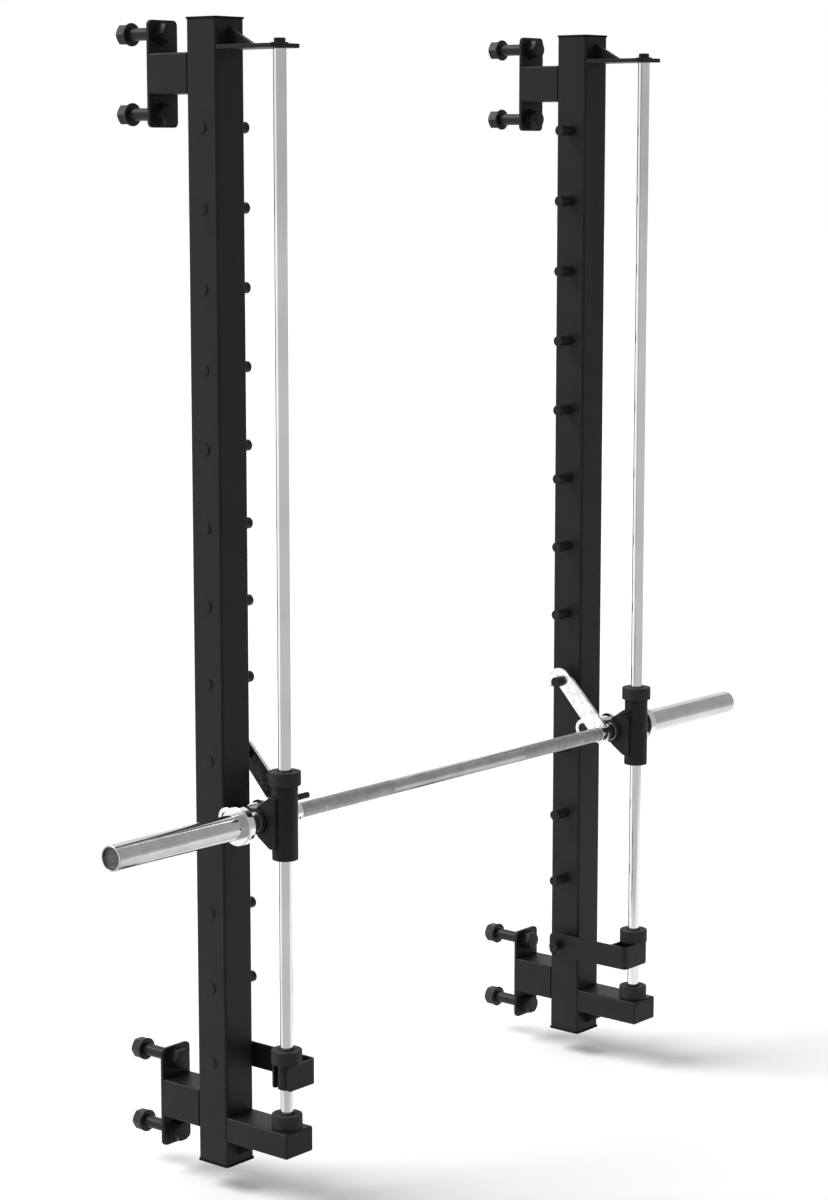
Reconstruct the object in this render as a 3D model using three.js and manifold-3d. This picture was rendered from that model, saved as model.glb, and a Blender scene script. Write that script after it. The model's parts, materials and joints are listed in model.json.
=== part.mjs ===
// Rack-mounted smith machine: two mirrored upright units and one bar that slides on their guide rods.
// Millimetres. +Z is up, +X runs along the bar to the right-hand unit, -Y is the side the user stands on.
// The origin is on the mirror plane between the units, at the height of the uprights' lower ends.
// Every unit is modelled at +X. The left-hand unit is the same set of pieces, mirrored in X.
import * as THREE from "three";
import { mergeVertices } from "three/addons/utils/BufferGeometryUtils.js";
import Module from "manifold-3d";

const wasm = await Module();
wasm.setup();

// ---- driving dimensions ----
const GAP = 0.3; // between pieces that touch on the real object
const SLIP = 0.5; // radial gap where a rod or post passes through a piece
const RUNNING = 0.4; // radial clearance of what slides or turns
const SINK = 1; // how far a rib runs into the plate that it is welded to
const PAST = 1; // how far a cutting shape runs past the face that it opens
const UNIT_X = 567; // centre plane of one unit
const TUBE = 76; // square tube of the uprights, arms and bracket stubs
const WALL = 3;
const HEIGHT = 2207; // upright with both end caps
const CAP_THICK = 4;
const CAP_LIP = 2;
const CAP_CORNER = 4;
const CAP_SPIGOT = 15;

const ROD_Y = -188;
const ROD_R = 12.5;
const UPRIGHT_Y = ROD_Y + 163;
const FRONT_Y = UPRIGHT_Y - TUBE / 2;
const BACK_Y = UPRIGHT_Y + TUBE / 2;
const INNER_X = UNIT_X - TUBE / 2;
const OUTER_X = UNIT_X + TUBE / 2;

const PEG_R = 11;
const PEG_PITCH = 150;
const PEG_COUNT = 13;
const LOWEST_PEG_Z = 205;
const PEG_STUB = 2; // past the outer face
const PEG_REACH = 42; // past the inner face, where the hooks hang

const BRACKET_Z = { bottom: 105, top: 2105 };
const STUB_LENGTH = 98;
const PLATE_HEIGHT = 200;
const PLATE_THICK = 6;
const PLATE_CORNER = 10;
const BOLT_SPACING = 150;
const BOLT_R = 12;
const BOLT_FLATS = 36;
const BOLT_HEAD = 15;
const NUT_HEIGHT = 22;
const BOLT_TIP = 2; // thread past the nut
const WASHER_R = 22;
const WASHER_THICK = 4;
const CLAMP_GAP = 76; // room for the rack's post between plate and washer

const GUSSET = { length: 64, height: 34, thick: 8 };
const TOP_PLATE_Z = 2147; // underside
const TOP_PLATE_THICK = 8;
const TOP_PLATE_FRONT = ROD_Y - 20;
const ROD_BOLT = { shankR: 6, flats: 19, head: 8, washerR: 16.5, washer: 2, depth: 30, spareDepth: 4 };

const ARM_Z = 52; // underside of the foot arm
const ARM_HEIGHT = 50;
const ARM_FRONT = ROD_Y - 33;
const COLLAR_R = 30;
const FOOT_COLLAR_HEIGHT = 27;

const BAR_Y = ROD_Y + 45;
const BAR_Z = 704;
const BAR_R = 15;
const SHAFT_END = 700; // the shaft ends inside the sleeves

const CARRIAGE = { r: 25, bore: 20, bottom: 632, top: 797 };
const CARRIAGE_COLLAR = { r: 31, bore: 13.5, height: 26, bottom: 777 };
const BUSH_R = 19.7;
const BUSH_INSET = 2; // from both ends of the post
const HOUSING = { r: 25, bore: 20.3, halfLength: 36 };
const BEARING_PROUD = 3; // past both ends of the housing
const YOKE = { thick: 6, half: 50, rearHalf: 29, front: -2, chamferY: 14, offset: 27 };
const STOP_PIN = { r: 6, z: 746, end: 502 };

const ROLLER_Y = ROD_Y + 108;
const ROLLER = { r: 16.6, flangeR: 21, flange: 8, innerGap: 2.5, coreR: 12.5, recess: 3, lugGap: 1 };
const AXLE_R = 6;
const AXLE_HEAD_R = 11.5;
const LUG = { r: 13, half: 5 };

const SEAT_R = PEG_R + SLIP;
const HOOK = {
  x: 503,
  thick: 7,
  hubIn: 484,
  hubOut: 521,
  hubR: 18,
  headR: 30,
  backR: 7.5, // the arm's rear edge touches this circle about the peg
  baseR: 21.5,
  baseShift: 4,
};

const SLEEVE = {
  start: 608,
  hubR: 20,
  hubEnd: 638,
  flangeR: 37.5,
  flangeEnd: 656,
  flangeEdge: 2,
  r: 25,
  tubeBore: 21.5,
  end: 981,
  capRecess: 7,
  capThick: 4,
};

const STOP = {
  bottom: 180,
  height: 50,
  thick: 5,
  inner: 60, // from the rod's axis to the face towards the bar's middle
  outer: 13, // from the rod's axis to the ends of the two cross plates
  reach: 22, // from the rod's axis to the cross plates' far faces
  rear: ROD_Y + 188,
  bend: 10,
  cornerR: 12,
};
const STOP_TUBE_R = 18;
const STOP_COLLAR_HEIGHT = 27;
const STOP_COLLAR_BOTTOM = 230.5;

// ---- materials ----
function material(colour, roughness, metalness) {
  return new THREE.MeshStandardMaterial({ color: colour, roughness, metalness });
}
const BLACK_COAT = material(0x26272a, 0.5, 0.2);
const BLACK_CAP = material(0x1c1d1f, 0.6, 0);
const BLACK_BOLT = material(0x232326, 0.45, 0.5);
const RUBBER = material(0x2a2b2d, 0.75, 0);
const CHROME = material(0xd8dadc, 0.15, 1);
const HOOK_STEEL = material(0xc9cccf, 0.3, 1);
const BAR_STEEL = material(0x8c8f92, 0.4, 1);
const BEARING_STEEL = material(0x77797c, 0.35, 1);
const BRONZE = material(0x9a7440, 0.45, 0.9);

// ---- solids ----
function solid(geometry) {
  geometry.deleteAttribute("normal");
  geometry.deleteAttribute("uv");
  const merged = mergeVertices(geometry, 1e-4);
  const vertProperties = new Float32Array(merged.attributes.position.array);
  const triVerts = new Uint32Array(merged.index.array);
  return new wasm.Manifold(new wasm.Mesh({ numProp: 3, vertProperties, triVerts }));
}

function join(...parts) {
  return parts.reduce((a, b) => a.add(b));
}

function box(x0, x1, y0, y1, z0, z1) {
  const g = new THREE.BoxGeometry(x1 - x0, y1 - y0, z1 - z0);
  g.translate((x0 + x1) / 2, (y0 + y1) / 2, (z0 + z1) / 2);
  return solid(g);
}

function cylinderZ(r, x, y, z0, z1, sides = 24) {
  const g = new THREE.CylinderGeometry(r, r, z1 - z0, sides);
  g.rotateX(Math.PI / 2);
  g.translate(x, y, (z0 + z1) / 2);
  return solid(g);
}

function cylinderX(r, y, z, x0, x1, sides = 24) {
  const g = new THREE.CylinderGeometry(r, r, x1 - x0, sides);
  g.rotateZ(Math.PI / 2);
  g.translate((x0 + x1) / 2, y, z);
  return solid(g);
}

function cylinderY(r, x, z, y0, y1, sides = 16) {
  const g = new THREE.CylinderGeometry(r, r, y1 - y0, sides);
  g.translate(x, (y0 + y1) / 2, z);
  return solid(g);
}

// A hexagonal prism of the given width across flats.
function hexY(flats, x, z, y0, y1) {
  return cylinderY(flats / Math.sqrt(3), x, z, y0, y1, 6);
}

function extruded(shape, depth, curveSegments = 3) {
  return new THREE.ExtrudeGeometry(shape, { depth, bevelEnabled: false, curveSegments });
}

// A profile drawn in (y, z), extruded from x0 to x1.
function slabX(shape, x0, x1, curveSegments) {
  const g = extruded(shape, x1 - x0, curveSegments);
  const turn = new THREE.Matrix4().makeBasis(
    new THREE.Vector3(0, 1, 0),
    new THREE.Vector3(0, 0, 1),
    new THREE.Vector3(1, 0, 0),
  );
  g.applyMatrix4(turn);
  g.translate(x0, 0, 0);
  return solid(g);
}

// A profile drawn in (x, z), extruded from y0 to y1.
function slabY(shape, y0, y1) {
  const g = extruded(shape, y1 - y0);
  g.rotateX(Math.PI / 2);
  g.translate(0, y1, 0);
  return solid(g);
}

// A profile drawn in (x, y), extruded from z0 to z1.
function slabZ(shape, z0, z1) {
  const g = extruded(shape, z1 - z0);
  g.translate(0, 0, z0);
  return solid(g);
}

// A profile of (radius, x) points turned about an axis along X.
function turnedX(points, y, z, sides = 28) {
  const g = new THREE.LatheGeometry(points.map(([r, x]) => new THREE.Vector2(r, x)), sides);
  g.rotateZ(-Math.PI / 2);
  g.translate(0, y, z);
  return solid(g);
}

function polygon(points) {
  return new THREE.Shape(points.map(([a, b]) => new THREE.Vector2(a, b)));
}

// corners are the radii at (low, low), (high, low), (high, high) and (low, high).
function roundedRect(a0, a1, b0, b1, corners) {
  const [r0, r1, r2, r3] = corners;
  const s = new THREE.Shape();
  s.moveTo(a0 + r0, b0);
  s.lineTo(a1 - r1, b0);
  if (r1) s.absarc(a1 - r1, b0 + r1, r1, -Math.PI / 2, 0);
  s.lineTo(a1, b1 - r2);
  if (r2) s.absarc(a1 - r2, b1 - r2, r2, 0, Math.PI / 2);
  s.lineTo(a0 + r3, b1);
  if (r3) s.absarc(a0 + r3, b1 - r3, r3, Math.PI / 2, Math.PI);
  s.lineTo(a0, b0 + r0);
  if (r0) s.absarc(a0 + r0, b0 + r0, r0, Math.PI, 1.5 * Math.PI);
  return s;
}

// ---- frame pieces ----
function upright() {
  const z0 = CAP_THICK + GAP;
  const z1 = HEIGHT - CAP_THICK - GAP;
  const outer = box(INNER_X, OUTER_X, FRONT_Y, BACK_Y, z0, z1);
  const inner = box(INNER_X + WALL, OUTER_X - WALL, FRONT_Y + WALL, BACK_Y - WALL, z0 - PAST, z1 + PAST);
  let tube = outer.subtract(inner);
  for (let i = 0; i < PEG_COUNT; i++) {
    const z = LOWEST_PEG_Z + i * PEG_PITCH;
    const peg = cylinderX(PEG_R, UPRIGHT_Y, z, INNER_X - PEG_REACH, OUTER_X + PEG_STUB, 12);
    tube = tube.add(peg);
  }
  return tube;
}

function endCap(z0, spigotZ0) {
  const lip = TUBE / 2 + CAP_LIP;
  const spigot = TUBE / 2 - WALL - GAP;
  const r = CAP_CORNER;
  const plate = roundedRect(UNIT_X - lip, UNIT_X + lip, UPRIGHT_Y - lip, UPRIGHT_Y + lip, [r, r, r, r]);
  const plug = box(
    UNIT_X - spigot, UNIT_X + spigot, UPRIGHT_Y - spigot, UPRIGHT_Y + spigot, spigotZ0, spigotZ0 + CAP_SPIGOT,
  );
  return slabZ(plate, z0, z0 + CAP_THICK).add(plug);
}

function rackBracket(z) {
  const half = TUBE / 2;
  const y0 = BACK_Y + GAP;
  const y1 = BACK_Y + STUB_LENGTH;
  const stub = box(INNER_X, OUTER_X, y0, y1, z - half, z + half);
  const hollow = box(INNER_X + WALL, OUTER_X - WALL, y0 - PAST, y1, z - half + WALL, z + half - WALL);
  const r = PLATE_CORNER;
  const outline = roundedRect(INNER_X, OUTER_X, z - PLATE_HEIGHT / 2, z + PLATE_HEIGHT / 2, [r, r, r, r]);
  let plate = slabY(outline, y1, y1 + PLATE_THICK);
  for (const side of [-1, 1]) {
    const boltZ = z + (side * BOLT_SPACING) / 2;
    plate = plate.subtract(cylinderY(BOLT_R + GAP, UNIT_X, boltZ, y1 - PAST, y1 + PLATE_THICK + PAST));
  }
  return stub.subtract(hollow).add(plate);
}

function rackBolt(z) {
  const plateFront = BACK_Y + STUB_LENGTH;
  const washer0 = plateFront - GAP - WASHER_THICK;
  const tip = plateFront + PLATE_THICK + CLAMP_GAP + WASHER_THICK + NUT_HEIGHT + BOLT_TIP;
  const head = hexY(BOLT_FLATS, UNIT_X, z, washer0 - BOLT_HEAD, washer0);
  const washer = cylinderY(WASHER_R, UNIT_X, z, washer0, washer0 + WASHER_THICK);
  return join(head, washer, cylinderY(BOLT_R, UNIT_X, z, washer0, tip));
}

function rackNut(z) {
  const y0 = BACK_Y + STUB_LENGTH + PLATE_THICK + CLAMP_GAP;
  const y1 = y0 + WASHER_THICK;
  const washer = cylinderY(WASHER_R, UNIT_X, z, y0, y1);
  const nut = hexY(BOLT_FLATS, UNIT_X, z, y1, y1 + NUT_HEIGHT);
  return washer.add(nut).subtract(cylinderY(BOLT_R + RUNNING, UNIT_X, z, y0 - PAST, y1 + NUT_HEIGHT + PAST));
}

// A triangular rib that stands on the upright's front face; rise is +1 above z and -1 below it.
function gusset(z, rise) {
  const wall = FRONT_Y - GAP;
  const outline =
    rise > 0
      ? [[wall - GUSSET.length, z], [wall, z], [wall, z + GUSSET.height]]
      : [[wall - GUSSET.length, z], [wall, z - GUSSET.height], [wall, z]];
  return slabX(polygon(outline), UNIT_X - GUSSET.thick / 2, UNIT_X + GUSSET.thick / 2);
}

function rodTopPlate() {
  const z1 = TOP_PLATE_Z + TOP_PLATE_THICK;
  const r = PLATE_CORNER;
  const outline = roundedRect(INNER_X, OUTER_X, TOP_PLATE_FRONT, FRONT_Y - GAP, [r, r, 0, 0]);
  const plate = slabZ(outline, TOP_PLATE_Z, z1).add(gusset(z1 - SINK, 1));
  return plate.subtract(cylinderZ(ROD_BOLT.shankR + GAP, UNIT_X, ROD_Y, TOP_PLATE_Z - PAST, z1 + PAST, 16));
}

function guideRod() {
  const z1 = TOP_PLATE_Z - GAP;
  const holeEnd = z1 - ROD_BOLT.depth - ROD_BOLT.spareDepth;
  const rod = cylinderZ(ROD_R, UNIT_X, ROD_Y, ARM_Z + WALL + GAP, z1);
  return rod.subtract(cylinderZ(ROD_BOLT.shankR + GAP, UNIT_X, ROD_Y, holeEnd, z1 + PAST, 16));
}

function rodTopBolt() {
  const washer0 = TOP_PLATE_Z + TOP_PLATE_THICK + GAP;
  const washer1 = washer0 + ROD_BOLT.washer;
  const hexR = ROD_BOLT.flats / Math.sqrt(3);
  return join(
    cylinderZ(ROD_BOLT.washerR, UNIT_X, ROD_Y, washer0, washer1),
    cylinderZ(hexR, UNIT_X, ROD_Y, washer1, washer1 + ROD_BOLT.head, 6),
    cylinderZ(ROD_BOLT.shankR, UNIT_X, ROD_Y, TOP_PLATE_Z - ROD_BOLT.depth, washer0, 16),
  );
}

function footArm() {
  const y1 = FRONT_Y - GAP;
  const z1 = ARM_Z + ARM_HEIGHT;
  const outer = box(INNER_X, OUTER_X, ARM_FRONT, y1, ARM_Z, z1);
  const hollow = box(INNER_X + WALL, OUTER_X - WALL, ARM_FRONT + WALL, y1 + PAST, ARM_Z + WALL, z1 - WALL);
  const rodHole = cylinderZ(ROD_R + SLIP, UNIT_X, ROD_Y, z1 - WALL - PAST, z1 + PAST);
  return outer.subtract(hollow).subtract(rodHole).add(gusset(ARM_Z + SINK, -1));
}

function ring(outerR, boreR, z0, z1) {
  return cylinderZ(outerR, UNIT_X, ROD_Y, z0, z1).subtract(
    cylinderZ(boreR, UNIT_X, ROD_Y, z0 - PAST, z1 + PAST),
  );
}

function footCollar() {
  const z0 = ARM_Z + ARM_HEIGHT + GAP;
  return ring(COLLAR_R, ROD_R + SLIP, z0, z0 + FOOT_COLLAR_HEIGHT);
}

// ---- safety stop ----
function stopCollar() {
  const z0 = STOP_COLLAR_BOTTOM;
  return ring(COLLAR_R, ROD_R + RUNNING, z0, z0 + STOP_COLLAR_HEIGHT);
}

// The strip in plan: along the unit's inner side, then round a bend and across in front of the rod.
function stopStripPlan() {
  const { thick, inner, outer, reach, rear, bend } = STOP;
  const x0 = UNIT_X - inner;
  const x1 = UNIT_X + outer;
  const front = ROD_Y - reach;
  const s = new THREE.Shape();
  s.moveTo(x0, rear);
  s.lineTo(x0, front + bend);
  s.absarc(x0 + bend, front + bend, bend, Math.PI, 1.5 * Math.PI);
  s.lineTo(x1, front);
  s.lineTo(x1, front + thick);
  s.lineTo(x0 + bend, front + thick);
  s.absarc(x0 + bend, front + bend, bend - thick, 1.5 * Math.PI, Math.PI, true);
  s.lineTo(x0 + thick, rear);
  return s;
}

function stopBracket() {
  const { bottom: z0, height, thick, inner, outer, reach, rear, cornerR: r } = STOP;
  const z1 = z0 + height;
  const sideView = roundedRect(ROD_Y - reach, rear, z0, z1, [0, r, r, 0]);
  const strip = slabZ(stopStripPlan(), z0, z1).intersect(slabX(sideView, UNIT_X - TUBE, UNIT_X + TUBE));
  const slotX = [UNIT_X - inner - PAST, UNIT_X - inner + thick + PAST];
  const slot = join(
    cylinderX(SEAT_R, UPRIGHT_Y, LOWEST_PEG_Z, ...slotX, 12),
    box(...slotX, UPRIGHT_Y - SEAT_R, UPRIGHT_Y + SEAT_R, z0 - PAST, LOWEST_PEG_Z),
  );
  const rearPlate = box(
    UNIT_X - inner + thick - SINK, UNIT_X + outer, ROD_Y + reach - thick, ROD_Y + reach, z0, z1,
  );
  const tube = cylinderZ(STOP_TUBE_R, UNIT_X, ROD_Y, z0, z1);
  const bore = cylinderZ(ROD_R + RUNNING, UNIT_X, ROD_Y, z0 - PAST, z1 + PAST);
  return join(strip.subtract(slot), rearPlate, tube).subtract(bore);
}

// ---- carriage ----
function carriageFrame() {
  const post = cylinderZ(CARRIAGE.r, UNIT_X, ROD_Y, CARRIAGE.bottom, CARRIAGE.top);
  const outline = polygon([
    [ROD_Y + YOKE.front, BAR_Z - YOKE.half],
    [ROD_Y + YOKE.chamferY, BAR_Z - YOKE.half],
    [BAR_Y, BAR_Z - YOKE.rearHalf],
    [BAR_Y, BAR_Z + YOKE.rearHalf],
    [ROD_Y + YOKE.chamferY, BAR_Z + YOKE.half],
    [ROD_Y + YOKE.front, BAR_Z + YOKE.half],
  ]);
  const cheeks = [-1, 1].map((side) => {
    const x = UNIT_X + side * YOKE.offset;
    return slabX(outline, x - YOKE.thick / 2, x + YOKE.thick / 2);
  });
  const housingX = [UNIT_X - HOUSING.halfLength, UNIT_X + HOUSING.halfLength];
  const housing = cylinderX(HOUSING.r, BAR_Y, BAR_Z, ...housingX);
  const lugX = [UNIT_X - LUG.half, UNIT_X + LUG.half];
  const lug = join(
    box(...lugX, BAR_Y, ROLLER_Y, BAR_Z - LUG.r, BAR_Z + LUG.r),
    cylinderX(LUG.r, ROLLER_Y, BAR_Z, ...lugX),
  );
  const pin = cylinderX(STOP_PIN.r, ROD_Y, STOP_PIN.z, STOP_PIN.end, UNIT_X, 16);
  const outside = join(post, ...cheeks, housing, lug, pin);
  const bores = [
    cylinderZ(CARRIAGE.bore, UNIT_X, ROD_Y, CARRIAGE.bottom - PAST, CARRIAGE.top + PAST),
    cylinderX(HOUSING.bore, BAR_Y, BAR_Z, housingX[0] - PAST, housingX[1] + PAST),
    cylinderX(AXLE_R + GAP, ROLLER_Y, BAR_Z, lugX[0] - PAST, lugX[1] + PAST, 16),
  ];
  return bores.reduce((a, b) => a.subtract(b), outside);
}

function carriageCollar() {
  const { r, bore, height, bottom } = CARRIAGE_COLLAR;
  const counterbore = cylinderZ(CARRIAGE.r + SLIP, UNIT_X, ROD_Y, bottom - PAST, CARRIAGE.top + GAP);
  return ring(r, bore, bottom, bottom + height).subtract(counterbore);
}

// The bush stays clear of the bar bearing, which passes close behind the rod.
function linearBush() {
  return ring(BUSH_R, ROD_R + RUNNING, CARRIAGE.bottom + BUSH_INSET, CARRIAGE.top - BUSH_INSET).subtract(
    cylinderX(HOUSING.bore + RUNNING, BAR_Y, BAR_Z, UNIT_X - HOUSING.halfLength, UNIT_X + HOUSING.halfLength),
  );
}

function barBearing() {
  const x0 = UNIT_X - HOUSING.halfLength - BEARING_PROUD;
  const x1 = UNIT_X + HOUSING.halfLength + BEARING_PROUD;
  return cylinderX(HOUSING.bore - RUNNING, BAR_Y, BAR_Z, x0, x1).subtract(
    cylinderX(BAR_R + RUNNING, BAR_Y, BAR_Z, x0 - PAST, x1 + PAST),
  );
}

// Half of the guide roller: side -1 is the one with its flange at the upright's inner face.
function guideRoller(side) {
  const flange0 = TUBE / 2 + ROLLER.innerGap;
  const flange1 = flange0 + ROLLER.flange;
  const bore = AXLE_R + RUNNING;
  const profile = [
    [bore, LUG.half + ROLLER.lugGap],
    [ROLLER.r, LUG.half + ROLLER.lugGap],
    [ROLLER.r, flange0],
    [ROLLER.flangeR, flange0],
    [ROLLER.flangeR, flange1],
    [ROLLER.coreR, flange1],
    [ROLLER.coreR, flange1 - ROLLER.recess],
    [bore, flange1 - ROLLER.recess],
    [bore, LUG.half + ROLLER.lugGap],
  ];
  const half = turnedX(profile, 0, 0);
  const placed = side > 0 ? half : half.mirror([1, 0, 0]);
  return placed.translate([UNIT_X, ROLLER_Y, BAR_Z]);
}

function rollerAxle() {
  const end = TUBE / 2 + ROLLER.innerGap + ROLLER.flange;
  const head0 = end - ROLLER.recess + RUNNING;
  return join(
    cylinderX(AXLE_R, ROLLER_Y, BAR_Z, UNIT_X - end, UNIT_X + end, 16),
    cylinderX(AXLE_HEAD_R, ROLLER_Y, BAR_Z, UNIT_X - end, UNIT_X - head0, 16),
    cylinderX(AXLE_HEAD_R, ROLLER_Y, BAR_Z, UNIT_X + head0, UNIT_X + end, 16),
  );
}

// ---- bar ----
function barShaft() {
  return cylinderX(BAR_R, BAR_Y, BAR_Z, -SHAFT_END, SHAFT_END);
}

function sleeve() {
  const s = SLEEVE;
  const bore = BAR_R + RUNNING;
  const capOut = s.end - s.capRecess;
  const capIn = capOut - s.capThick;
  const profile = [
    [0, capIn],
    [s.tubeBore, capIn],
    [s.tubeBore, SHAFT_END + GAP],
    [bore, SHAFT_END + GAP],
    [bore, s.start],
    [s.hubR, s.start],
    [s.hubR, s.hubEnd],
    [s.flangeR - s.flangeEdge, s.hubEnd],
    [s.flangeR, s.hubEnd + s.flangeEdge],
    [s.flangeR, s.flangeEnd - s.flangeEdge],
    [s.flangeR - s.flangeEdge, s.flangeEnd],
    [s.r, s.flangeEnd],
    [s.r, s.end],
    [s.tubeBore, s.end],
    [s.tubeBore, capOut],
    [0, capOut],
  ];
  return turnedX(profile, BAR_Y, BAR_Z);
}

// The direction, from either centre, of the points where two circles' common outer tangent touches them,
// on the left (side +1) or right (side -1) of the way from a to b.
function tangent(a, ra, b, rb, side) {
  const dx = b[0] - a[0];
  const dy = b[1] - a[1];
  return Math.atan2(dy, dx) + side * Math.acos((ra - rb) / Math.hypot(dx, dy));
}

// The hook in side view: a round base on the bar, an arm up to the peg and a round head. The inside of the
// finger behind the peg is an arc about the bar, so the hook leaves the peg when the bar turns.
function hookOutline() {
  const bar = [BAR_Y, BAR_Z];
  const peg = [UPRIGHT_Y, LOWEST_PEG_Z + 4 * PEG_PITCH];
  const arm = Math.atan2(peg[1] - bar[1], peg[0] - bar[0]);
  const reach = Math.hypot(peg[0] - bar[0], peg[1] - bar[1]);
  const base = [
    bar[0] + HOOK.baseShift * Math.sin(arm),
    bar[1] - HOOK.baseShift * Math.cos(arm),
  ];
  const front = tangent(base, HOOK.baseR, peg, HOOK.headR, 1);
  const back = tangent(base, HOOK.baseR, peg, HOOK.backR, -1);
  const fingerR = reach + SEAT_R;
  // where the circle about the bar through the finger's inside crosses the head's circle
  const tipAtBar = Math.acos(
    (reach ** 2 + fingerR ** 2 - HOOK.headR ** 2) / (2 * reach * fingerR),
  );
  const tip = arm - tipAtBar;
  const tipPoint = [bar[0] + fingerR * Math.cos(tip), bar[1] + fingerR * Math.sin(tip)];
  const tipAtPeg = Math.atan2(tipPoint[1] - peg[1], tipPoint[0] - peg[0]);
  const seatEnd = back - Math.acos(HOOK.backR / SEAT_R);
  const s = new THREE.Shape();
  s.absarc(base[0], base[1], HOOK.baseR, front, back + 2 * Math.PI);
  s.absarc(peg[0], peg[1], SEAT_R, seatEnd, arm, true);
  s.absarc(bar[0], bar[1], fingerR, arm, tip, true);
  s.absarc(peg[0], peg[1], HOOK.headR, tipAtPeg, front);
  return s;
}

function hook() {
  const plate = slabX(hookOutline(), HOOK.x, HOOK.x + HOOK.thick, 10);
  const hub = cylinderX(HOOK.hubR, BAR_Y, BAR_Z, HOOK.hubIn, HOOK.hubOut);
  const bore = cylinderX(BAR_R + RUNNING, BAR_Y, BAR_Z, HOOK.hubIn - PAST, HOOK.hubOut + PAST);
  return plate.add(hub).subtract(bore);
}

// ---- assembly ----
const group = new THREE.Group();

function meshOf(name, shape, surface) {
  const m = shape.getMesh();
  const positions = new Float32Array(m.numVert * 3);
  for (let i = 0; i < m.numVert; i++) {
    positions.set(m.vertProperties.subarray(i * m.numProp, i * m.numProp + 3), i * 3);
  }
  const g = new THREE.BufferGeometry();
  g.setAttribute("position", new THREE.BufferAttribute(positions, 3));
  g.setIndex(new THREE.BufferAttribute(m.triVerts, 1));
  g.computeVertexNormals();
  const mesh = new THREE.Mesh(g, surface);
  mesh.name = name;
  return mesh;
}

function unitPieces() {
  const topCapZ = HEIGHT - CAP_THICK;
  const pieces = [
    ["upright", upright(), BLACK_COAT],
    ["top_cap", endCap(topCapZ, topCapZ - CAP_SPIGOT), BLACK_CAP],
    ["bottom_cap", endCap(0, CAP_THICK), BLACK_CAP],
    ["rod_top_plate", rodTopPlate(), BLACK_COAT],
    ["guide_rod", guideRod(), CHROME],
    ["rod_top_bolt", rodTopBolt(), BLACK_BOLT],
    ["foot_arm", footArm(), BLACK_COAT],
    ["foot_collar", footCollar(), RUBBER],
    ["stop_bracket", stopBracket(), BLACK_COAT],
    ["stop_collar", stopCollar(), RUBBER],
    ["carriage_frame", carriageFrame(), BLACK_COAT],
    ["carriage_collar", carriageCollar(), RUBBER],
    ["linear_bush", linearBush(), BRONZE],
    ["bar_bearing", barBearing(), BEARING_STEEL],
    ["inner_guide_roller", guideRoller(-1), CHROME],
    ["outer_guide_roller", guideRoller(1), CHROME],
    ["roller_axle", rollerAxle(), BLACK_BOLT],
    ["hook", hook(), HOOK_STEEL],
    ["sleeve", sleeve(), CHROME],
  ];
  for (const [place, z] of Object.entries(BRACKET_Z)) {
    pieces.push([place + "_bracket", rackBracket(z), BLACK_COAT]);
    for (const [row, side] of [["lower", -1], ["upper", 1]]) {
      const boltZ = z + (side * BOLT_SPACING) / 2;
      pieces.push([`${place}_${row}_bolt`, rackBolt(boltZ), BLACK_BOLT]);
      pieces.push([`${place}_${row}_nut`, rackNut(boltZ), BLACK_BOLT]);
    }
  }
  return pieces;
}

for (const [side, sign] of [["left", -1], ["right", 1]]) {
  const unit = new THREE.Group();
  unit.scale.x = sign;
  for (const [name, shape, surface] of unitPieces()) {
    unit.add(meshOf(`${side}_${name}`, shape, surface));
  }
  group.add(unit);
}
group.add(meshOf("bar_shaft", barShaft(), BAR_STEEL));

export default group;
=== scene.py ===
"""Rack-mounted smith machine, drawn in detail round the CAD frame.

The object is two mirrored upright units and one bar. Each unit's pieces are built once, for the
right-hand unit at +X, and mirrored for the left-hand one. Shapes are worked out in millimetres and
stored in metres. Numbers without a unit are millimetres.
"""

import json
import math

import bmesh
import bpy
from mathutils import Matrix, Vector


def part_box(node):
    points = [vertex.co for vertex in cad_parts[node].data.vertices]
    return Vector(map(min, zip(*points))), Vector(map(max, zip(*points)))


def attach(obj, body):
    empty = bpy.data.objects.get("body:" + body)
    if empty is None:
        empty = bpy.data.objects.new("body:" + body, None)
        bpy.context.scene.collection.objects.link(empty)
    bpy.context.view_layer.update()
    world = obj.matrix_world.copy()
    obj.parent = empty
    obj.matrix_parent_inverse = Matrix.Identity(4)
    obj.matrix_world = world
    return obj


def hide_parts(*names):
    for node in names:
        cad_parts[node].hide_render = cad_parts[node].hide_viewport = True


MM = 0.001
AXES = {"X": (1, 2, 0), "Y": (0, 2, 1), "Z": (0, 1, 2)}  # the two of the outline, then the axis itself

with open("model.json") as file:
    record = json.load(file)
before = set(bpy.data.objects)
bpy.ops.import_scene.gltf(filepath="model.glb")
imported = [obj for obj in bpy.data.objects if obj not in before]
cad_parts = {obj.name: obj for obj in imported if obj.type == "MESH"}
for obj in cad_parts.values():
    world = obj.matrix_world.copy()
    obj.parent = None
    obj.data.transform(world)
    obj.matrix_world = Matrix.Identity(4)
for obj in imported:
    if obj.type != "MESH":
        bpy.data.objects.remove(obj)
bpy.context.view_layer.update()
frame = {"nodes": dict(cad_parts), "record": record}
record = frame["record"]
BODY_OF = {node: body for body, nodes in record["behaviour"]["bodies"].items() for node in nodes}


def mm_box(node):
    lo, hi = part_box(node)
    return Vector(lo) / MM, Vector(hi) / MM


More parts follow.
